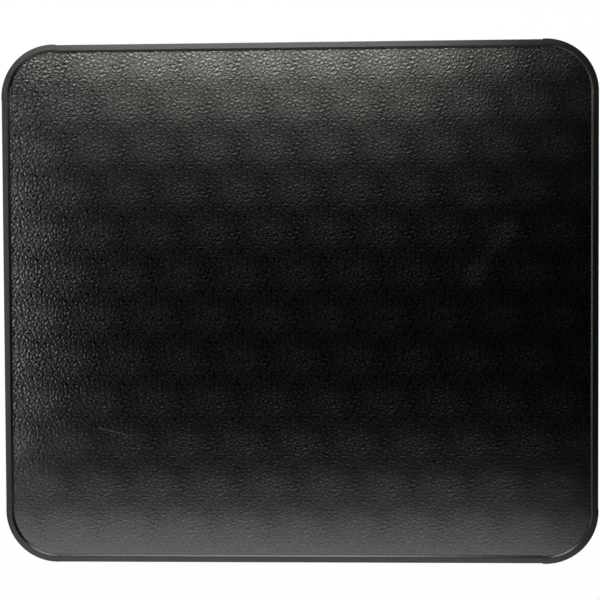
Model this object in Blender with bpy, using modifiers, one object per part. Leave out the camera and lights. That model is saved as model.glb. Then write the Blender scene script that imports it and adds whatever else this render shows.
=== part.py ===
"""Stove board: a leather-grain steel floor protector, 32 by 28 inches.

A flat sandwich of embossed face sheet, mineral board and back sheet lies
inside a ring of pressed steel trims. Four straight channels grip the sides
and four curved channels grip the rounded corners, butted end to end.
The trims' flat crown stands proud of the face, sloping down to it on the
inside, and their bottom lips are what the board rests on.

Metres, +Z up, +X right, +Y rear. The origin is under the middle of the
board, on the surface that it rests on.
"""

from math import cos, pi, radians, sin, tan

import bmesh
import bpy
from mathutils import Matrix, Vector

# Overall size, over the straight trims
WIDTH = 0.8128
DEPTH = 0.7112
HEIGHT = 0.0154
CORNER_RADIUS = 0.0720

# Clearance kept between neighbouring pieces
GAP = 0.0003

# Sheet thicknesses
TRIM_SHEET = 0.0006
FACE_SHEET = 0.0006
BACK_SHEET = 0.0005

# Trim section
RIM_WIDTH = 0.0100
RIM_RISE = 0.0024
LIP_WIDTH = 0.0100
SHOULDER_RADIUS = 0.0008
CREST_RADIUS = 0.0012
FLANK_ANGLE = 38
BOTTOM_BEND_RADIUS = 0.0010
BEND_STEPS = 5

# Corner trims: the straights stop this far from the board's corners
JOINT_INSET = 0.0750
ARC_STEPS = 18
# How far each corner trim is seated outside the straights' line, in X and Y
CORNER_SEATING = {
    "rear_left": (0.0004, 0.0009),
    "rear_right": (0.0000, 0.0009),
    "front_right": (0.0004, 0.0009),
    "front_left": (0.0002, 0.0002),
}
CORNER_SIDES = {
    "rear_left": (-1, 1),
    "rear_right": (1, 1),
    "front_right": (1, -1),
    "front_left": (-1, -1),
}

# Heights worked out from the stack
BACK_BOTTOM = TRIM_SHEET + GAP
CORE_BOTTOM = BACK_BOTTOM + BACK_SHEET + GAP
FACE_TOP = HEIGHT - RIM_RISE
FACE_BOTTOM = FACE_TOP - FACE_SHEET
CORE_TOP = FACE_BOTTOM - GAP
FOOT_BOTTOM = FACE_TOP + GAP

# The sandwich sits this far inside the trims' outer faces
BOARD_INSET = TRIM_SHEET + GAP

# The strip of the face sheet under the trims, where crimping flattens the grain
PRESSED_WIDTH = RIM_WIDTH + GAP - BOARD_INSET
PRESS_DEPTH = 0.0001


def clear_scene():
    for item in list(bpy.data.objects):
        bpy.data.objects.remove(item, do_unlink=True)


def make_collection(name):
    collection = bpy.data.collections.new(name)
    bpy.context.scene.collection.children.link(collection)
    return collection


def make_material(name, color, roughness, metallic):
    material = bpy.data.materials.new(name)
    material.use_nodes = True
    shader = material.node_tree.nodes["Principled BSDF"]
    shader.inputs["Base Color"].default_value = (*color, 1.0)
    shader.inputs["Roughness"].default_value = roughness
    shader.inputs["Metallic"].default_value = metallic
    return material


def arc_points(center, radius, start, end, steps):
    """Points along a circular arc, angles in degrees, both ends included."""
    points = []
    for step in range(steps + 1):
        angle = radians(start + (end - start) * step / steps)
        points.append((center[0] + radius * cos(angle), center[1] + radius * sin(angle)))
    return points


def rounded_rectangle(half_x, half_y, radius, steps):
    """Outline of a rectangle with round corners, anticlockwise."""
    points = []
    for quarter, (side_x, side_y) in enumerate([(1, 1), (-1, 1), (-1, -1), (1, -1)]):
        center = (side_x * (half_x - radius), side_y * (half_y - radius))
        points += arc_points(center, radius, 90 * quarter, 90 * quarter + 90, steps)
    return points


def make_slab(name, bottom, thickness, material, collection, pressed_width=0.0, press_depth=0.0):
    """A flat sheet or board with the outline of the sandwich.

    A pressed width lowers a strip of that width round the edge of its top face.
    """
    outline = rounded_rectangle(
        WIDTH / 2 - BOARD_INSET, DEPTH / 2 - BOARD_INSET, CORNER_RADIUS - BOARD_INSET, ARC_STEPS
    )
    mesh = bmesh.new()
    underside = mesh.faces.new([mesh.verts.new((x, y, bottom)) for x, y in outline])
    result = bmesh.ops.extrude_face_region(mesh, geom=[underside], use_keep_orig=True)
    raised = [item for item in result["geom"] if isinstance(item, bmesh.types.BMVert)]
    bmesh.ops.translate(mesh, verts=raised, vec=(0, 0, thickness - press_depth))
    bmesh.ops.recalc_face_normals(mesh, faces=mesh.faces)
    if pressed_width:
        top = max(mesh.faces, key=lambda face: face.calc_center_median().z)
        bmesh.ops.inset_region(
            mesh, faces=[top], thickness=pressed_width, depth=press_depth, use_even_offset=True
        )
    data = bpy.data.meshes.new(name)
    mesh.to_mesh(data)
    mesh.free()
    data.materials.append(material)
    slab = bpy.data.objects.new(name, data)
    collection.objects.link(slab)
    return slab


def trim_section():
    """Outer face of the trim, from lip edge to flank edge, as (inward, up)."""
    bend = BOTTOM_BEND_RADIUS
    shoulder = SHOULDER_RADIUS
    crest = CREST_RADIUS
    slope = radians(FLANK_ANGLE)
    # The sheet's lower corner, not its outer face, is what clears the face sheet
    flank_end = FOOT_BOTTOM + TRIM_SHEET * cos(slope)
    flank_width = (HEIGHT - flank_end) / tan(slope)
    crown_end = RIM_WIDTH - flank_width - crest * tan(slope / 2)
    points = [(LIP_WIDTH, 0.0)]
    points += arc_points((bend, bend), bend, 270, 180, BEND_STEPS)
    points += arc_points((shoulder, HEIGHT - shoulder), shoulder, 180, 90, BEND_STEPS)
    points += arc_points((crown_end, HEIGHT - crest), crest, 90, 90 - FLANK_ANGLE, BEND_STEPS)
    points.append((RIM_WIDTH, flank_end))
    return points


def add_section(mesh, origin, inward):
    """Lay the trim section into a bmesh, and return its edges."""
    verts = [
        mesh.verts.new(Vector(origin) + Vector(inward) * u + Vector((0, 0, z)))
        for u, z in trim_section()
    ]
    return [mesh.edges.new(pair) for pair in zip(verts, verts[1:])]


def extrude_section(mesh, edges, travel):
    """Sweep the section's edges in a straight line, and return the new edges."""
    result = bmesh.ops.extrude_edge_only(mesh, edges=edges)
    moved = [item for item in result["geom"] if isinstance(item, bmesh.types.BMVert)]
    bmesh.ops.translate(mesh, verts=moved, vec=travel)
    return [item for item in result["geom"] if isinstance(item, bmesh.types.BMEdge)]


def spin_section(mesh, edges, center, angle):
    """Turn the section's edges about a vertical axis, and return the new edges."""
    result = bmesh.ops.spin(
        mesh, geom=edges, cent=center, axis=(0, 0, 1), angle=angle, steps=ARC_STEPS
    )
    return [item for item in result["geom_last"] if isinstance(item, bmesh.types.BMEdge)]


def finish_trim(name, mesh, outside, material, collection):
    """Turn a swept section into a sheet-metal object, thickened inwards."""
    bmesh.ops.remove_doubles(mesh, verts=mesh.verts, dist=1e-6)
    bmesh.ops.recalc_face_normals(mesh, faces=mesh.faces)
    mesh.faces.ensure_lookup_table()
    wall = min(mesh.faces, key=lambda face: abs(face.calc_center_median().z - HEIGHT / 2))
    if wall.normal.dot(Vector(outside)) < 0:
        bmesh.ops.reverse_faces(mesh, faces=mesh.faces)
    data = bpy.data.meshes.new(name)
    mesh.to_mesh(data)
    mesh.free()
    data.materials.append(material)
    data.shade_smooth()
    data.set_sharp_from_angle(angle=radians(40))
    trim = bpy.data.objects.new(name, data)
    collection.objects.link(trim)
    sheet = trim.modifiers.new("sheet", "SOLIDIFY")
    sheet.thickness = TRIM_SHEET
    sheet.offset = -1.0
    sheet.use_even_offset = True
    return trim


def make_straight_trim(name, turn, half_length, half_span, material, collection):
    """A straight channel: made along the front side, then turned into place."""
    mesh = bmesh.new()
    edges = add_section(mesh, (-half_length, -half_span, 0), (0, 1, 0))
    extrude_section(mesh, edges, (2 * half_length, 0, 0))
    bmesh.ops.rotate(mesh, verts=mesh.verts, cent=(0, 0, 0), matrix=Matrix.Rotation(turn, 3, "Z"))
    outside = (sin(turn), -cos(turn), 0)
    return finish_trim(name, mesh, outside, material, collection)


def make_corner_trim(name, sides, seating, material, collection):
    """A curved channel with a short straight tail at each end.

    It is made in the quarter where X and Y are positive, then mirrored.
    """
    seat_x, seat_y = seating
    center = (WIDTH / 2 - CORNER_RADIUS + seat_x, DEPTH / 2 - CORNER_RADIUS + seat_y, 0)
    start_y = DEPTH / 2 - JOINT_INSET + GAP
    end_x = WIDTH / 2 - JOINT_INSET + GAP
    mesh = bmesh.new()
    edges = add_section(mesh, (center[0] + CORNER_RADIUS, start_y, 0), (-1, 0, 0))
    edges = extrude_section(mesh, edges, (0, center[1] - start_y, 0))
    edges = spin_section(mesh, edges, center, pi / 2)
    extrude_section(mesh, edges, (end_x - center[0], 0, 0))
    bmesh.ops.scale(mesh, verts=mesh.verts, vec=(sides[0], sides[1], 1))
    outside = (sides[0], sides[1], 0)
    return finish_trim(name, mesh, outside, material, collection)


def build():
    clear_scene()
    board = make_collection("stove_board")

    enamel = make_material("embossed_black_enamel", (0.004, 0.004, 0.0045), 0.30, 0.0)
    mineral = make_material("mineral_board", (0.62, 0.58, 0.50), 0.95, 0.0)
    zinc = make_material("galvanised_steel", (0.56, 0.57, 0.58), 0.40, 1.0)
    trim_paint = make_material("black_trim_enamel", (0.006, 0.006, 0.0065), 0.28, 0.0)

    make_slab("back_sheet", BACK_BOTTOM, BACK_SHEET, zinc, board)
    make_slab("core_board", CORE_BOTTOM, CORE_TOP - CORE_BOTTOM, mineral, board)
    make_slab(
        "face_sheet", FACE_BOTTOM, FACE_SHEET, enamel, board, PRESSED_WIDTH, PRESS_DEPTH
    )

    long_half = WIDTH / 2 - JOINT_INSET
    short_half = DEPTH / 2 - JOINT_INSET
    make_straight_trim("front_trim", 0, long_half, DEPTH / 2, trim_paint, board)
    make_straight_trim("right_trim", pi / 2, short_half, WIDTH / 2, trim_paint, board)
    make_straight_trim("rear_trim", pi, long_half, DEPTH / 2, trim_paint, board)
    make_straight_trim("left_trim", -pi / 2, short_half, WIDTH / 2, trim_paint, board)

    for corner, sides in CORNER_SIDES.items():
        make_corner_trim(corner + "_corner", sides, CORNER_SEATING[corner], trim_paint, board)


build()
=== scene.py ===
"""Looks of a black stove board: leather-grain steel face, smooth raised rim, zinc back."""

from math import cos, pi, radians, sin

import bmesh
import bpy
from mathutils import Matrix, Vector


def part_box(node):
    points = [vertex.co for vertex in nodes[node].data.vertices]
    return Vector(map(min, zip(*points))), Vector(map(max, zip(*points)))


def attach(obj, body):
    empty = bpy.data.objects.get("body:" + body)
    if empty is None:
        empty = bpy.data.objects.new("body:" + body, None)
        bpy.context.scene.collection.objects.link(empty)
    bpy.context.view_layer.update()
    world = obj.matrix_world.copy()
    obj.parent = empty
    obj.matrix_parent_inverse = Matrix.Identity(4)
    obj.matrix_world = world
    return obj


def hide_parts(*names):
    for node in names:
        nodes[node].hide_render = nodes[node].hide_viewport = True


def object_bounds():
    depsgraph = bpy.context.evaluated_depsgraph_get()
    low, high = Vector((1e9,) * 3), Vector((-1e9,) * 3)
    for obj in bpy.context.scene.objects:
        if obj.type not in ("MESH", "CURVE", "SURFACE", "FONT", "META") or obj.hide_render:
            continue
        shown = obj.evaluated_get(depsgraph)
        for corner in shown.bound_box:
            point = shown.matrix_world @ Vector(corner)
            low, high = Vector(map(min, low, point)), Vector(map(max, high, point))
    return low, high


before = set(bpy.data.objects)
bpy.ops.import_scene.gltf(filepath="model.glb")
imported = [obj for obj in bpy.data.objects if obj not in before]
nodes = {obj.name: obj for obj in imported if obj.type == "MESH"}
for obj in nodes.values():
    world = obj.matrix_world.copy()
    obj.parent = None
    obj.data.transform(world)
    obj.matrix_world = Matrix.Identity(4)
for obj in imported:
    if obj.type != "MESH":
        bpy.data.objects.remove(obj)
cad_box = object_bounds()

bpy.context.scene.view_settings.view_transform = "Standard"


# ---------------------------------------------------------------- face sheet
# The face is thin sheet steel that went through a leather-grain embossing
# roll, then had black enamel stoved on. It is laid on the core and held
# by the trims, so it is very slightly uneven between them.

face_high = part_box("face_sheet")[1]
FACE_RADIUS = 0.0711
FACE_CELL = 0.0036
FACE_THICKNESS = 0.0005
PANEL_SWELL = 0.00012
SWELL_LIMIT = 0.0001

# Grain of the roll, in millimetres: how far each layer leans, in degrees, how long and
# wide its cells are, and how far their slopes reach, as a share of a cell
PEBBLES = {"lean": 33, "length": 6.8, "width": 5.0, "slope": 0.58}
FOLDS = {"lean": 80, "length": 30.0, "width": 13.0, "slope": 0.12}
# Cycles per millimetre of the noise in it, and how far the cells wander by it
WANDER_SCALE, DEPTH_SCALE, FINE_SCALE = 0.085, 0.055, 0.28
GRAIN_WANDER = 3.0
# Depths of the grain's layers as shares of the whole, and the levels that they are
# measured from. Between the two noise values, the pebbles go from least to full depth.
LEAST_DEPTH = 0.80
DEPTH_NOISE = (0.32, 0.68)
FINE_DEPTH = 1.6
PEBBLE_LEVEL = 1.3
FOLD_DEPTH = 0.10
FOLD_LEVEL = 0.9

# The engraved block that the roll repeats, in millimetres, and where its print starts
BLOCK_WIDTH = 79.0
BLOCK_HEIGHT = 57.4
BLOCK_BLEND = 7.0
BLOCK_START = (-40.1, -8.9, 0.0)

# Ovals of each block where the print is duller: middle and half size, as shares of it
LARGE_OVAL = {"middle": (0.48, 0.50), "half": (0.30, 0.30)}
SMALL_OVAL = {"middle": (0.28, 0.86), "half": (0.13, 0.14)}
SMALL_OVAL_SHARE = 0.45
OVAL_EDGE = (2.6, -0.2)
OVAL_MOTTLE = 4.0
MOTTLE_SCALE = 0.10

# How deep the roll bit, along the sheet: where its bite starts to ease, where it ends
# easing, and the share that is left. Towards the left end it eased less.
REAR_EASE = ("Y", 0.04, 0.24)
FRONT_EASE = ("Y", -0.07, -0.34)
SIDE_EASE = ("X", -0.42, -0.23)
REAR_BITE = 0.60
FRONT_BITE = 0.18
GRAIN_DEPTH = 0.00017

# The enamel: its roughness, and its shine as a share of the most that it could have
ENAMEL_COLOR = (0.0014, 0.0012, 0.0034, 1.0)
ENAMEL_INDEX = 1.8
ROUGHNESS = 0.238
OVAL_ROUGHNESS = 0.028
CREST_ROUGHNESS = -0.03
SHINE = 0.468
# The shine's rise with the grain's height is painted shade: the pits mirror less, as if they were
# in shadow
PAINTED_PIT_SHADE = 0.540
OVAL_SHINE = 0.174
# Where the enamel is rubbed dull: start, run, reach and how much rougher it is there
MARKS = {
    "scuff": ((0.285, 0.101, 0.0), (-0.048, -0.066, 0.0), 0.021, 0.050),
    "scuff_hook": ((0.230, 0.138, 0.0), (0.056, 0.002, 0.0), 0.014, 0.035),
    "scratch": ((-0.277, -0.170, 0.0), (0.040, -0.011, 0.0), 0.0014, 0.40),
}


def node_group(name, inputs, outputs):
    """A shader node group with named sockets, each given as (name, type, default)."""
    group = bpy.data.node_groups.new(name, "ShaderNodeTree")
    for side, sockets in (("INPUT", inputs), ("OUTPUT", outputs)):
        for label, kind, default in sockets:
            socket = group.interface.new_socket(label, in_out=side, socket_type=kind)
            if default is not None:
                socket.default_value = default
    start = group.nodes.new("NodeGroupInput")
    end = group.nodes.new("NodeGroupOutput")
    return group, start.outputs, end.inputs


def add(tree, kind, links=None, **settings):
    """A node with its settings, and its inputs linked or set by name or number."""
    node = tree.nodes.new(kind)
    for key, value in settings.items():
        setattr(node, key, value)
    for key, value in (links or {}).items():
        if isinstance(value, bpy.types.NodeSocket):
            tree.links.new(value, node.inputs[key])
        else:
            node.inputs[key].default_value = value
    return node


def maths(tree, operation, *values, clamp=False):
    """One Math node, which may be fed with sockets or numbers."""
    links = dict(enumerate(values))
    return add(tree, "ShaderNodeMath", links, operation=operation, use_clamp=clamp).outputs[0]


def place(tree, group, **links):
    """A node group placed in a tree."""
    node = tree.nodes.new("ShaderNodeGroup")
    node.node_tree = group
    for key, value in links.items():
        socket = node.inputs[key.replace("_", " ")]
        if isinstance(value, bpy.types.NodeSocket):
            tree.links.new(value, socket)
        else:
            socket.default_value = value
    return node.outputs


def hide_grain_group():
    """Grain of a hide: long pebbles leaning to one side, and a few longer creases."""
    group, given, out = node_group(
        "hide_grain",
        [("Vector", "NodeSocketVector", None)],
        [("Height", "NodeSocketFloat", None)],
    )

    def noise(scale):
        links = {"Vector": given["Vector"], "Scale": scale, "Detail": 1.0}
        return add(group, "ShaderNodeTexNoise", links, noise_dimensions="2D").outputs

    centred = add(
        group,
        "ShaderNodeVectorMath",
        {0: noise(WANDER_SCALE)["Color"], 1: (0.5, 0.5, 0.5)},
        operation="SUBTRACT",
    )
    pushed = add(
        group,
        "ShaderNodeVectorMath",
        {0: centred.outputs[0], 1: (GRAIN_WANDER, GRAIN_WANDER, 0.0), 2: given["Vector"]},
        operation="MULTIPLY_ADD",
    )

    def creases(lean, length, width, slope):
        laid = add(
            group,
            "ShaderNodeMapping",
            {
                "Vector": pushed.outputs[0],
                "Rotation": (0.0, 0.0, radians(lean)),
                "Scale": (length, width, 1.0),
            },
            vector_type="TEXTURE",
        )
        cells = add(
            group,
            "ShaderNodeTexVoronoi",
            {"Vector": laid.outputs[0], "Scale": 1.0, "Randomness": 1.0},
            voronoi_dimensions="2D",
            feature="DISTANCE_TO_EDGE",
        )
        rise = add(
            group,
            "ShaderNodeMapRange",
            {"Value": cells.outputs["Distance"], "From Max": slope},
            interpolation_type="SMOOTHSTEP",
        )
        return rise.outputs[0]

    pebbles = creases(**PEBBLES)
    folds = creases(**FOLDS)
    least, most = DEPTH_NOISE
    depth = add(
        group,
        "ShaderNodeMapRange",
        {
            "Value": noise(DEPTH_SCALE)["Fac"],
            "From Min": least,
            "From Max": most,
            "To Min": LEAST_DEPTH,
        },
    )
    grain = maths(group, "MULTIPLY_ADD", noise(FINE_SCALE)["Fac"], FINE_DEPTH, pebbles)
    even = maths(group, "SUBTRACT", grain, PEBBLE_LEVEL)
    varied = maths(group, "MULTIPLY", even, depth.outputs[0])
    creased = maths(group, "SUBTRACT", folds, FOLD_LEVEL)
    height = maths(group, "MULTIPLY_ADD", creased, FOLD_DEPTH, varied)
    group.links.new(height, out["Height"])
    return group


def roll_print_group(hide):
    """The hide grain as an embossing roll prints it: one block, repeated half dropped.

    The block's edges are cross-faded into the next block, as an engraver blends them.
    In a large and a small oval of each block the roll leaves the metal duller.
    """
    group, given, out = node_group(
        "roll_print",
        [
            ("Vector", "NodeSocketVector", None),
            ("Block Width", "NodeSocketFloat", BLOCK_WIDTH),
            ("Block Height", "NodeSocketFloat", BLOCK_HEIGHT),
            ("Blend", "NodeSocketFloat", BLOCK_BLEND),
        ],
        [("Height", "NodeSocketFloat", None), ("Patch", "NodeSocketFloat", None)],
    )
    width, height, blend = given["Block Width"], given["Block Height"], given["Blend"]
    millimetres = add(
        group,
        "ShaderNodeVectorMath",
        {0: given["Vector"], 1: (1000.0, 1000.0, 0.0), 2: BLOCK_START},
        operation="MULTIPLY_ADD",
    )
    split = add(group, "ShaderNodeSeparateXYZ", {0: millimetres.outputs[0]})
    rows = maths(group, "DIVIDE", split.outputs["Y"], height)
    row = maths(group, "FLOOR", rows)
    across = maths(group, "DIVIDE", split.outputs["X"], width)
    shifted = maths(group, "MULTIPLY_ADD", row, 0.5, across)
    part_x = maths(group, "FRACT", shifted)
    part_x_next = maths(group, "FRACT", maths(group, "ADD", shifted, 0.5))
    part_y = maths(group, "FRACT", rows)

    def fade(part, size):
        edge = maths(group, "SUBTRACT", 1.0, maths(group, "DIVIDE", blend, size))
        ramp = add(
            group,
            "ShaderNodeMapRange",
            {"Value": part, "From Min": edge},
            interpolation_type="SMOOTHSTEP",
        )
        return ramp.outputs[0]

    def sample(part, up, step_back):
        along = maths(group, "SUBTRACT", part, step_back)
        at = add(
            group, "ShaderNodeCombineXYZ", {"X": maths(group, "MULTIPLY", along, width), "Y": up}
        )
        return place(group, hide, Vector=at.outputs[0])["Height"]

    def mixed(factor, first, second):
        mix = add(group, "ShaderNodeMix", {"Factor": factor, "A": first, "B": second})
        rest = maths(group, "SUBTRACT", 1.0, factor)
        power = maths(group, "MULTIPLY_ADD", rest, rest, maths(group, "MULTIPLY", factor, factor))
        return maths(group, "DIVIDE", mix.outputs["Result"], maths(group, "SQRT", power))

    def block(part, up):
        return mixed(fade(part, width), sample(part, up, 0.0), sample(part, up, 1.0))

    up_here = maths(group, "MULTIPLY", part_y, height)
    up_next = maths(group, "SUBTRACT", up_here, height)
    grain = mixed(fade(part_y, height), block(part_x, up_here), block(part_x_next, up_next))

    in_block = add(
        group, "ShaderNodeCombineXYZ", {"X": maths(group, "MULTIPLY", part_x, width), "Y": up_here}
    )
    mottle = add(
        group,
        "ShaderNodeTexNoise",
        {"Vector": in_block.outputs[0], "Scale": MOTTLE_SCALE, "Detail": 3.0},
        noise_dimensions="2D",
    )
    mottled = (OVAL_MOTTLE, -OVAL_MOTTLE / 2)
    uneven = maths(group, "MULTIPLY_ADD", mottle.outputs["Fac"], *mottled)

    def oval(middle, half):
        squares = []
        for part, start, size in zip((part_x, part_y), middle, half):
            over = maths(group, "DIVIDE", maths(group, "SUBTRACT", part, start), size)
            squares.append(maths(group, "MULTIPLY", over, over))
        reach = maths(group, "ADD", *squares)
        outer, inner = OVAL_EDGE
        edge = add(
            group,
            "ShaderNodeMapRange",
            {"Value": maths(group, "ADD", reach, uneven), "From Min": outer, "From Max": inner},
            interpolation_type="SMOOTHSTEP",
        )
        return edge.outputs[0]

    small = oval(**SMALL_OVAL)
    patch = maths(group, "MULTIPLY_ADD", small, SMALL_OVAL_SHARE, oval(**LARGE_OVAL))
    group.links.new(grain, out["Height"])
    group.links.new(patch, out["Patch"])
    return group


def stroke_group():
    """Soft mask along one straight stroke, fading out over its reach."""
    group, given, out = node_group(
        "stroke",
        [
            ("Vector", "NodeSocketVector", None),
            ("Start", "NodeSocketVector", None),
            ("Run", "NodeSocketVector", None),
            ("Reach", "NodeSocketFloat", 0.01),
        ],
        [("Mask", "NodeSocketFloat", None)],
    )

    def vector_math(operation, *values):
        links = dict(enumerate(values))
        return add(group, "ShaderNodeVectorMath", links, operation=operation).outputs

    from_start = vector_math("SUBTRACT", given["Vector"], given["Start"])[0]
    dot = vector_math("DOT_PRODUCT", from_start, given["Run"])["Value"]
    square = vector_math("DOT_PRODUCT", given["Run"], given["Run"])["Value"]
    along = maths(group, "DIVIDE", dot, square, clamp=True)
    reached = {0: given["Run"], "Scale": along}
    nearest = add(group, "ShaderNodeVectorMath", reached, operation="SCALE")
    apart = vector_math("DISTANCE", from_start, nearest.outputs[0])["Value"]
    mask = add(
        group,
        "ShaderNodeMapRange",
        {"Value": apart, "From Min": given["Reach"], "From Max": 0.0},
        interpolation_type="SMOOTHSTEP",
    )
    group.links.new(mask.outputs[0], out["Mask"])
    return group


def face_enamel(roll_print, stroke):
    """Glossy black enamel over the embossed grain, with a scuff, a scratch and painted shade in
    the pits.
    """
    material = bpy.data.materials.new("embossed_black_enamel")
    material.use_nodes = True
    tree = material.node_tree
    shader = tree.nodes["Principled BSDF"]
    shader.inputs["Base Color"].default_value = ENAMEL_COLOR
    shader.inputs["IOR"].default_value = ENAMEL_INDEX
    shader.inputs["Specular IOR Level"].default_value = 1.0
    where = add(tree, "ShaderNodeTexCoord").outputs["Object"]
    along = add(tree, "ShaderNodeSeparateXYZ", {0: where}).outputs
    printed = place(tree, roll_print, Vector=where)

    def eased(axis, start, end, left_over):
        ramp = {"Value": along[axis], "From Min": start, "From Max": end, "To Min": 1.0}
        ramp["To Max"] = left_over
        node = add(tree, "ShaderNodeMapRange", ramp, interpolation_type="SMOOTHSTEP")
        return node.outputs[0]

    rear_bite = eased(*REAR_EASE, eased(*SIDE_EASE, REAR_BITE))
    bite = maths(tree, "MULTIPLY", rear_bite, eased(*FRONT_EASE, FRONT_BITE))
    grain = maths(tree, "MULTIPLY", printed["Height"], bite)

    flat = add(
        tree, "ShaderNodeVectorMath", {0: where, 1: (1.0, 1.0, 0.0)}, operation="MULTIPLY"
    )
    dull = maths(tree, "MULTIPLY_ADD", printed["Patch"], OVAL_ROUGHNESS, ROUGHNESS)
    for start, run, reach, strength in MARKS.values():
        mask = place(tree, stroke, Vector=flat.outputs[0], Start=start, Run=run, Reach=reach)
        dull = maths(tree, "MULTIPLY_ADD", mask["Mask"], strength, dull)
    worn = maths(tree, "MULTIPLY_ADD", grain, CREST_ROUGHNESS, dull)
    tree.links.new(worn, shader.inputs["Roughness"])

    # As a metal, a colour this near to black mirrors almost nothing, so the share of metal is the
    # share of the shine that is gone, most of it in the pits.
    # That drop in the pits is painted shade in the grain's creases, and it is stronger where the
    # grain is deeper.
    shine_with_pit_shade = maths(tree, "MULTIPLY_ADD", grain, PAINTED_PIT_SHADE, SHINE)
    bright = maths(tree, "MULTIPLY_ADD", printed["Patch"], OVAL_SHINE, 1.0)
    shine = maths(tree, "MULTIPLY", shine_with_pit_shade, bright)
    pit_shade_as_metal = maths(tree, "SUBTRACT", 1.0, shine, clamp=True)
    tree.links.new(pit_shade_as_metal, shader.inputs["Metallic"])

    relief = add(
        tree, "ShaderNodeBump", {"Height": grain, "Strength": 1.0, "Distance": GRAIN_DEPTH}
    )
    tree.links.new(relief.outputs[0], shader.inputs["Normal"])
    return material


def rounded_place(x, y, half_x, half_y, radius):
    """Where a point of a plain rectangle goes on one with round corners."""
    over_x = (abs(x) - (half_x - radius)) / radius
    over_y = (abs(y) - (half_y - radius)) / radius
    if over_x <= 0 or over_y <= 0:
        return x, y
    reach = max(over_x, over_y)
    turn = pi / 4 * over_y / over_x if over_x >= over_y else pi / 2 - pi / 4 * over_x / over_y
    round_x = half_x - radius + radius * reach * cos(turn)
    round_y = half_y - radius + radius * reach * sin(turn)
    return (round_x if x > 0 else -round_x), (round_y if y > 0 else -round_y)


def face_height(x, y, half_x, half_y):
    """Slow swells of the clamped sheet."""
    calm = max(0.0, 1 - (x / half_x) ** 4) * max(0.0, 1 - (y / half_y) ** 4)
    swell = sin(17 * x + 1.3) * cos(13 * y - 0.4) + 0.6 * sin(31 * y + 9 * x)
    return PANEL_SWELL * swell * calm


def make_face():
    half_x, half_y = face_high.x, face_high.y
    count_x = round(2 * half_x / FACE_CELL)
    count_y = round(2 * half_y / FACE_CELL)
    mesh = bmesh.new()
    grid = []
    for row in range(count_y + 1):
        y0 = half_y * (2 * row / count_y - 1)
        line = []
        for column in range(count_x + 1):
            x0 = half_x * (2 * column / count_x - 1)
            x, y = rounded_place(x0, y0, half_x, half_y, FACE_RADIUS)
            z = face_high.z + face_height(x, y, half_x, half_y)
            line.append(mesh.verts.new((x, y, min(z, face_high.z + SWELL_LIMIT))))
        grid.append(line)
    for low, high in zip(grid, grid[1:]):
        for a, b, c, d in zip(low, low[1:], high[1:], high):
            mesh.faces.new((a, b, c, d))
    data = bpy.data.meshes.new("embossed_face")
    mesh.to_mesh(data)
    mesh.free()
    data.shade_smooth()
    face = bpy.data.objects.new("embossed_face", data)
    bpy.context.scene.collection.objects.link(face)
    wall = face.modifiers.new("sheet", "SOLIDIFY")
    wall.thickness = FACE_THICKNESS
    wall.offset = -1.0
    return face


face = make_face()
face.data.materials.append(face_enamel(roll_print_group(hide_grain_group()), stroke_group()))
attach(face, "root")
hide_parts("face_sheet")


# ---------------------------------------------------------------- core board
# A millboard of pressed mineral fibre, cut to the sheet's outline. It keeps
# the stove's heat from the floor, and only its edge could ever be seen.

BOARD_DARK, BOARD_PALE = (0.50, 0.46, 0.39, 1.0), (0.70, 0.66, 0.58, 1.0)
BOARD_ROUGHNESS = 0.95
FIBRE_SCALE = 900.0
FIBRE_DEPTH = 0.0002


def mineral_board():
    """Pale, dusty pressed fibre with a felted surface."""
    material = bpy.data.materials.new("mineral_board")
    material.use_nodes = True
    tree = material.node_tree
    shader = tree.nodes["Principled BSDF"]
    where = add(tree, "ShaderNodeTexCoord").outputs["Object"]
    fibre = add(
        tree, "ShaderNodeTexNoise", {"Vector": where, "Scale": FIBRE_SCALE, "Detail": 4.0}
    )
    tone = add(
        tree,
        "ShaderNodeMix",
        {"Factor": fibre.outputs["Fac"], "A": BOARD_DARK, "B": BOARD_PALE},
        data_type="RGBA",
    )
    tree.links.new(tone.outputs["Result"], shader.inputs["Base Color"])
    shader.inputs["Roughness"].default_value = BOARD_ROUGHNESS
    relief = add(tree, "ShaderNodeBump", {"Height": fibre.outputs["Fac"], "Distance": FIBRE_DEPTH})
    tree.links.new(relief.outputs[0], shader.inputs["Normal"])
    return material


def dress(node, material):
    """Give a CAD node that keeps its own shape its material."""
    data = nodes[node].data
    data.materials.clear()
    data.materials.append(material)


dress("core_board", mineral_board())


# ---------------------------------------------------------------- back sheet
# Thin galvanised steel closes the underside. Hot-dip zinc freezes into
# spangles, flat crystals a few millimetres across, each of its own shade.

ZINC_DARK, ZINC_PALE = (0.42, 0.43, 0.45, 1.0), (0.66, 0.67, 0.68, 1.0)
ZINC_ROUGHNESS = (0.32, 0.52)
SPANGLE_SCALE = 95.0


def zinc_spangle():
    """Dull zinc with crystals that differ a little in shade and polish."""
    material = bpy.data.materials.new("galvanised_steel")
    material.use_nodes = True
    tree = material.node_tree
    shader = tree.nodes["Principled BSDF"]
    shader.inputs["Metallic"].default_value = 1.0
    where = add(tree, "ShaderNodeTexCoord").outputs["Object"]
    crystal = add(tree, "ShaderNodeTexVoronoi", {"Vector": where, "Scale": SPANGLE_SCALE})
    shade = add(tree, "ShaderNodeSeparateColor", {0: crystal.outputs["Color"]}).outputs[0]
    tone = add(
        tree, "ShaderNodeMix", {"Factor": shade, "A": ZINC_DARK, "B": ZINC_PALE}, data_type="RGBA"
    )
    tree.links.new(tone.outputs["Result"], shader.inputs["Base Color"])
    smooth, rough = ZINC_ROUGHNESS
    polish = add(
        tree, "ShaderNodeMapRange", {"Value": shade, "To Min": smooth, "To Max": rough}
    )
    tree.links.new(polish.outputs[0], shader.inputs["Roughness"])
    return material


dress("back_sheet", zinc_spangle())


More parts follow.
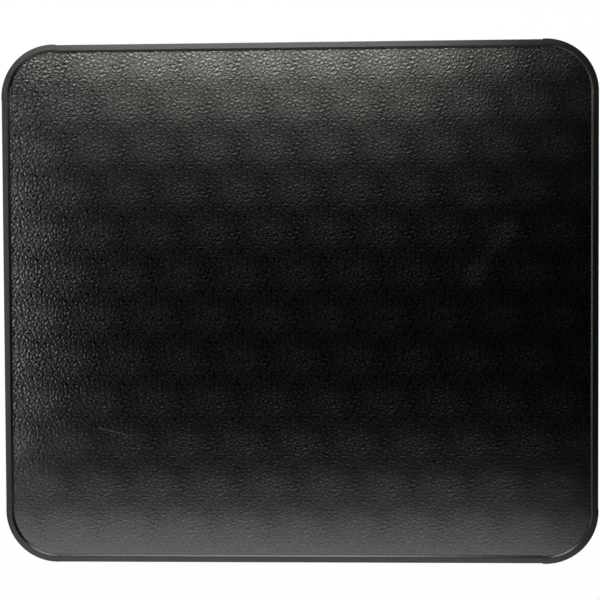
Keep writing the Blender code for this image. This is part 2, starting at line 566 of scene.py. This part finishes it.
# --------------------------------------------------------------- edge trims
# Eight lengths of thin steel channel with a flat crown, enamelled smooth
# black: four straight, four curved round the corners. They are crimped over
# the sandwich's edge and butt against each other.

TRIM_SHEET = 0.0006
RIM_WIDTH = 0.0100
SHOULDER_RADIUS = 0.0008
CREST_RADIUS = 0.0012
BEND_RADIUS = 0.0010
LIP_WIDTH = 0.0100
FLANK_WIDTH = 0.0021
CORNER_RADIUS = 0.0720
JOINT_GAP = 0.0003
TRIM_RIPPLE = 0.00006
RIPPLE_SCALE = 16.0
# The flank's outer face ends this far above its foot, the sheet's thickness on its slope
FOOT_LIFT = 0.00045
# The crown's flat stretch starts and ends this share of a bend's radius from its corner
PAST_SHOULDER = 1.3
BEFORE_CREST = 0.45
PATH_STEP = 0.006
ARC_STEPS = 48
BEND_POINTS = 9
SHARP_ANGLE = 50

TRIM_COLOR = (0.004, 0.004, 0.0045, 1.0)
TRIM_INDEX = 1.6
TRIM_SHINE = 0.44
TRIM_ROUGHNESS = (0.25, 0.33)
CLOUD_SCALE = 30.0
PEEL_SCALE = 420.0
PEEL_DEPTH = 0.00003

rim_top = cad_box[1][2]
foot_height = face_high.z + JOINT_GAP + FOOT_LIFT


def rolled_trim_tree():
    """Geometry nodes that sweep the trim's section along a path on its outer face."""
    tree = bpy.data.node_groups.new("rolled_trim", "GeometryNodeTree")
    sockets = (
        ("Geometry", "NodeSocketGeometry", None),
        ("Width", "NodeSocketFloat", RIM_WIDTH),
        ("Lip", "NodeSocketFloat", LIP_WIDTH),
        ("Height", "NodeSocketFloat", rim_top),
        ("Foot", "NodeSocketFloat", foot_height),
        ("Flank", "NodeSocketFloat", FLANK_WIDTH),
        ("Shoulder", "NodeSocketFloat", SHOULDER_RADIUS),
        ("Crest", "NodeSocketFloat", CREST_RADIUS),
        ("Bend", "NodeSocketFloat", BEND_RADIUS),
        ("Ripple", "NodeSocketFloat", TRIM_RIPPLE),
        ("Material", "NodeSocketMaterial", None),
    )
    for label, kind, default in sockets:
        socket = tree.interface.new_socket(label, in_out="INPUT", socket_type=kind)
        if default is not None:
            socket.default_value = default
    tree.interface.new_socket("Geometry", in_out="OUTPUT", socket_type="NodeSocketGeometry")
    given = tree.nodes.new("NodeGroupInput").outputs
    out = tree.nodes.new("NodeGroupOutput").inputs

    path = add(tree, "GeometryNodeMeshToCurve", {0: given["Geometry"]})
    upright = add(tree, "GeometryNodeSetCurveNormal", {0: path.outputs[0]}, mode="Z_UP")

    def corner(x, y):
        return add(tree, "ShaderNodeCombineXYZ", {"X": x, "Y": y}).outputs[0]

    crown_end = maths(tree, "SUBTRACT", given["Width"], given["Flank"])
    flat_start = maths(tree, "MULTIPLY", given["Shoulder"], PAST_SHOULDER)
    flat_end = maths(tree, "MULTIPLY_ADD", given["Crest"], -BEFORE_CREST, crown_end)
    corners = (
        corner(given["Lip"], 0.0),
        corner(0.0, 0.0),
        corner(0.0, given["Height"]),
        corner(flat_start, given["Height"]),
        corner(flat_end, given["Height"]),
        corner(crown_end, given["Height"]),
        corner(given["Width"], given["Foot"]),
    )
    bent = {1: "Bend", 2: "Shoulder", 5: "Crest"}

    line = add(tree, "GeometryNodeMeshLine", {"Count": len(corners), "Offset": (0.0, 0.0, 0.0)})
    index = add(tree, "GeometryNodeInputIndex").outputs[0]
    chosen = add(tree, "GeometryNodeIndexSwitch", {"Index": index}, data_type="VECTOR")
    while len(chosen.index_switch_items) < len(corners):
        chosen.index_switch_items.new()
    for number, socket in enumerate(corners):
        tree.links.new(socket, chosen.inputs[number + 1])
    folded = add(
        tree, "GeometryNodeSetPosition", {0: line.outputs[0], "Position": chosen.outputs[0]}
    )
    section = add(tree, "GeometryNodeMeshToCurve", {0: folded.outputs[0]})
    radius = add(tree, "GeometryNodeIndexSwitch", {"Index": index}, data_type="FLOAT")
    while len(radius.index_switch_items) < len(corners):
        radius.index_switch_items.new()
    for number, label in bent.items():
        tree.links.new(given[label], radius.inputs[number + 1])
    rolled = add(
        tree,
        "GeometryNodeFilletCurve",
        {
            0: section.outputs[0],
            "Radius": radius.outputs[0],
            "Count": BEND_POINTS,
            "Limit Radius": True,
        },
        mode="POLY",
    )
    turned = add(
        tree, "GeometryNodeTransform", {0: rolled.outputs[0], "Rotation": (0.0, 0.0, pi)}
    )
    swept = add(
        tree, "GeometryNodeCurveToMesh", {0: upright.outputs[0], 1: turned.outputs[0]}
    )
    where = add(tree, "GeometryNodeInputPosition").outputs[0]
    wave = add(
        tree,
        "ShaderNodeTexNoise",
        {"Vector": where, "Scale": RIPPLE_SCALE, "Detail": 1.0},
        noise_dimensions="3D",
    )
    push = add(
        tree,
        "ShaderNodeVectorMath",
        {0: wave.outputs["Color"], 1: (0.5, 0.5, 0.5)},
        operation="SUBTRACT",
    )
    ripple = add(
        tree,
        "ShaderNodeVectorMath",
        {0: push.outputs[0], "Scale": given["Ripple"]},
        operation="SCALE",
    )
    rippled = add(
        tree, "GeometryNodeSetPosition", {0: swept.outputs[0], "Offset": ripple.outputs[0]}
    )
    outward = add(tree, "GeometryNodeFlipFaces", {0: rippled.outputs[0]})
    solid = add(tree, "GeometryNodeRealizeInstances", {0: outward.outputs[0]})
    painted = add(
        tree, "GeometryNodeSetMaterial", {0: solid.outputs[0], "Material": given["Material"]}
    )
    tree.links.new(painted.outputs[0], out[0])
    return tree


def trim_enamel():
    """Smooth stoved enamel with a faint orange peel."""
    material = bpy.data.materials.new("black_trim_enamel")
    material.use_nodes = True
    tree = material.node_tree
    shader = tree.nodes["Principled BSDF"]
    shader.inputs["Base Color"].default_value = TRIM_COLOR
    shader.inputs["IOR"].default_value = TRIM_INDEX
    shader.inputs["Specular IOR Level"].default_value = TRIM_SHINE
    where = add(tree, "ShaderNodeTexCoord").outputs["Object"]
    peel = add(tree, "ShaderNodeTexNoise", {"Vector": where, "Scale": PEEL_SCALE, "Detail": 2.0})
    relief = add(
        tree,
        "ShaderNodeBump",
        {"Height": peel.outputs["Fac"], "Strength": 1.0, "Distance": PEEL_DEPTH},
    )
    tree.links.new(relief.outputs[0], shader.inputs["Normal"])
    cloud = add(tree, "ShaderNodeTexNoise", {"Vector": where, "Scale": CLOUD_SCALE, "Detail": 3.0})
    smooth, rough = TRIM_ROUGHNESS
    dull = add(
        tree,
        "ShaderNodeMapRange",
        {"Value": cloud.outputs["Fac"], "To Min": smooth, "To Max": rough},
    )
    tree.links.new(dull.outputs[0], shader.inputs["Roughness"])
    return material


def straight_path(start, end):
    """Points along a straight trim's outer face, on the floor plane."""
    start, end = Vector(start), Vector(end)
    steps = max(2, round((end - start).length / PATH_STEP))
    return [start.lerp(end, step / steps) for step in range(steps + 1)]


def corner_path(low, high, side_x, side_y):
    """Points round a corner trim's outer face, with its two short straight tails."""
    outer_x = high.x if side_x > 0 else -low.x
    outer_y = high.y if side_y > 0 else -low.y
    inner_x = low.x if side_x > 0 else -high.x
    inner_y = low.y if side_y > 0 else -high.y
    center_x, center_y = outer_x - CORNER_RADIUS, outer_y - CORNER_RADIUS
    points = [(outer_x, inner_y)]
    for step in range(ARC_STEPS + 1):
        turn = pi / 2 * step / ARC_STEPS
        points.append(
            (center_x + CORNER_RADIUS * cos(turn), center_y + CORNER_RADIUS * sin(turn))
        )
    points.append((inner_x, outer_y))
    placed = [Vector((side_x * x, side_y * y, 0)) for x, y in points]
    return placed if side_x * side_y > 0 else placed[::-1]


def make_trim(name, node, path, tree, material):
    """Sweep one trim along its path and give it the sheet's thickness."""
    data = bpy.data.meshes.new(name)
    data.from_pydata(path, [(a, a + 1) for a in range(len(path) - 1)], [])
    guide = bpy.data.objects.new(name + "_path", data)
    bpy.context.scene.collection.objects.link(guide)
    sweep = guide.modifiers.new("sweep", "NODES")
    sweep.node_group = tree
    for item in tree.interface.items_tree:
        if item.name == "Material" and item.in_out == "INPUT":
            sweep[item.identifier] = material
    wall = guide.modifiers.new("sheet", "SOLIDIFY")
    wall.thickness = TRIM_SHEET
    wall.offset = -1.0
    wall.use_even_offset = True
    graph = bpy.context.evaluated_depsgraph_get()
    shape = bpy.data.meshes.new_from_object(guide.evaluated_get(graph))
    bpy.data.objects.remove(guide)
    shape.name = name
    shape.shade_smooth()
    shape.set_sharp_from_angle(angle=radians(SHARP_ANGLE))
    trim = bpy.data.objects.new(name, shape)
    bpy.context.scene.collection.objects.link(trim)
    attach(trim, "root")
    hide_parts(node)
    return trim


trim_tree = rolled_trim_tree()
trim_material = trim_enamel()

half_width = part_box("right_trim")[1].x
half_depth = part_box("rear_trim")[1].y
long_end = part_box("rear_trim")[1].x
short_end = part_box("right_trim")[1].y
STRAIGHTS = {
    "front_trim": ((-long_end, -half_depth, 0), (long_end, -half_depth, 0)),
    "right_trim": ((half_width, -short_end, 0), (half_width, short_end, 0)),
    "rear_trim": ((long_end, half_depth, 0), (-long_end, half_depth, 0)),
    "left_trim": ((-half_width, short_end, 0), (-half_width, -short_end, 0)),
}
CORNERS = {
    "rear_right_corner": (1, 1),
    "rear_left_corner": (-1, 1),
    "front_left_corner": (-1, -1),
    "front_right_corner": (1, -1),
}
for node, (start, end) in STRAIGHTS.items():
    make_trim("rolled_" + node, node, straight_path(start, end), trim_tree, trim_material)
for node, (side_x, side_y) in CORNERS.items():
    route = corner_path(*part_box(node), side_x, side_y)
    make_trim("pressed_" + node, node, route, trim_tree, trim_material)


# ------------------------------------------------------------ floor and light
# The board lies on a plain white floor under soft studio boxes. The boxes
# stand behind, in front and to the left, so their reflections brighten those
# edges of the glossy face and leave its middle and right side dark.

CAMERA_PLACE = (0.0273, 0.0242, 1.0758)
CAMERA_TURN = (-1.032, 1.367, -0.279)
CAMERA_LENS = 46.62
FLOOR_SIZE = 12.0
FLOOR_COLOR = (0.90, 0.90, 0.90, 1.0)
FLOOR_ROUGHNESS = 0.9
FLOOR_GLOW = 0.985
# The room's light: pale below the first height of this band, as overhead above the second,
# and overhead from the left level to the right one across the other band
HORIZON_BAND = (0.12, 0.42)
OVERHEAD_BAND = (-0.32, 0.25)
HORIZON_LEVEL = 0.80
OVERHEAD_LEFT = 0.020
OVERHEAD_RIGHT = 0.003


def seen_directly(tree):
    """1 where the camera, a mirror reflection or clear glass looks, 0 elsewhere."""
    path = add(tree, "ShaderNodeLightPath").outputs
    either = maths(tree, "MAXIMUM", path["Is Camera Ray"], path["Is Glossy Ray"])
    return maths(tree, "MAXIMUM", either, path["Is Transmission Ray"])


def make_floor():
    bpy.ops.mesh.primitive_plane_add(size=FLOOR_SIZE)
    floor = bpy.context.active_object
    floor.name = "studio_floor"
    material = bpy.data.materials.new("white_floor")
    material.use_nodes = True
    tree = material.node_tree
    shader = tree.nodes["Principled BSDF"]
    shader.inputs["Base Color"].default_value = FLOOR_COLOR
    shader.inputs["Roughness"].default_value = FLOOR_ROUGHNESS
    glow = add(tree, "ShaderNodeEmission", {"Color": (1, 1, 1, 1), "Strength": 1.0})
    share = maths(tree, "MULTIPLY", seen_directly(tree), FLOOR_GLOW)
    blend = add(tree, "ShaderNodeMixShader", {0: share, 1: shader.outputs[0], 2: glow.outputs[0]})
    tree.links.new(blend.outputs[0], tree.nodes["Material Output"].inputs["Surface"])
    floor.data.materials.append(material)


def make_light(name, place_at, aim, size, power, tint):
    data = bpy.data.lights.new(name, "AREA")
    data.shape = "RECTANGLE"
    data.size, data.size_y = size
    data.energy = power
    data.color = tint
    lamp = bpy.data.objects.new(name, data)
    bpy.context.scene.collection.objects.link(lamp)
    lamp.location = place_at
    lamp.rotation_euler = (Vector(aim) - Vector(place_at)).to_track_quat("-Z", "Y").to_euler()


WARM = (0.98, 1.0, 0.89)
COOL = (0.96, 0.95, 1.0)
LIGHTS = {
    "rear_high_box": ((-0.16, 1.05, 1.30), (-0.16, 0.2, 0.0), (1.00, 0.24), 5.4, WARM),
    "rear_low_box": ((-0.14, 0.76, 0.71), (-0.14, 0.2, 0.0), (1.24, 0.20), 6.3, WARM),
    "rear_wide_box": ((-0.20, 0.80, 0.90), (-0.20, 0.2, 0.0), (1.14, 0.60), 2.3, WARM),
    "front_box": ((-0.09, -0.72, 0.92), (-0.075, -0.2, 0.0), (1.62, 0.20), 2.80, COOL),
    "left_box": ((-0.84, 0.0, 0.70), (-0.2, 0.0, 0.0), (0.90, 0.18), 2.35, COOL),
}


def make_world():
    """A studio that is pale near the horizon and dark overhead, least so on the left."""
    world = bpy.data.worlds.new("studio")
    bpy.context.scene.world = world
    world.use_nodes = True
    tree = world.node_tree
    room = tree.nodes["Background"]
    room.inputs["Color"].default_value = (1.0, 1.0, 1.0, 1.0)
    direction = add(tree, "ShaderNodeTexCoord").outputs["Generated"]
    toward = add(tree, "ShaderNodeSeparateXYZ", {0: direction}).outputs
    left, right = OVERHEAD_BAND
    low, high = HORIZON_BAND
    overhead = add(
        tree,
        "ShaderNodeMapRange",
        {
            "Value": toward["X"],
            "From Min": left,
            "From Max": right,
            "To Min": OVERHEAD_LEFT,
            "To Max": OVERHEAD_RIGHT,
        },
    )
    level = add(
        tree,
        "ShaderNodeMapRange",
        {
            "Value": toward["Z"],
            "From Min": low,
            "From Max": high,
            "To Min": HORIZON_LEVEL,
            "To Max": overhead.outputs[0],
        },
        interpolation_type="SMOOTHSTEP",
    )
    tree.links.new(level.outputs[0], room.inputs["Strength"])


def make_camera():
    data = bpy.data.cameras.new("camera")
    data.lens = CAMERA_LENS
    camera = bpy.data.objects.new("camera", data)
    bpy.context.scene.collection.objects.link(camera)
    camera.location = CAMERA_PLACE
    camera.rotation_euler = [radians(turn) for turn in CAMERA_TURN]
    bpy.context.scene.camera = camera


make_floor()
for name, settings in LIGHTS.items():
    make_light(name, *settings)
make_world()
make_camera()
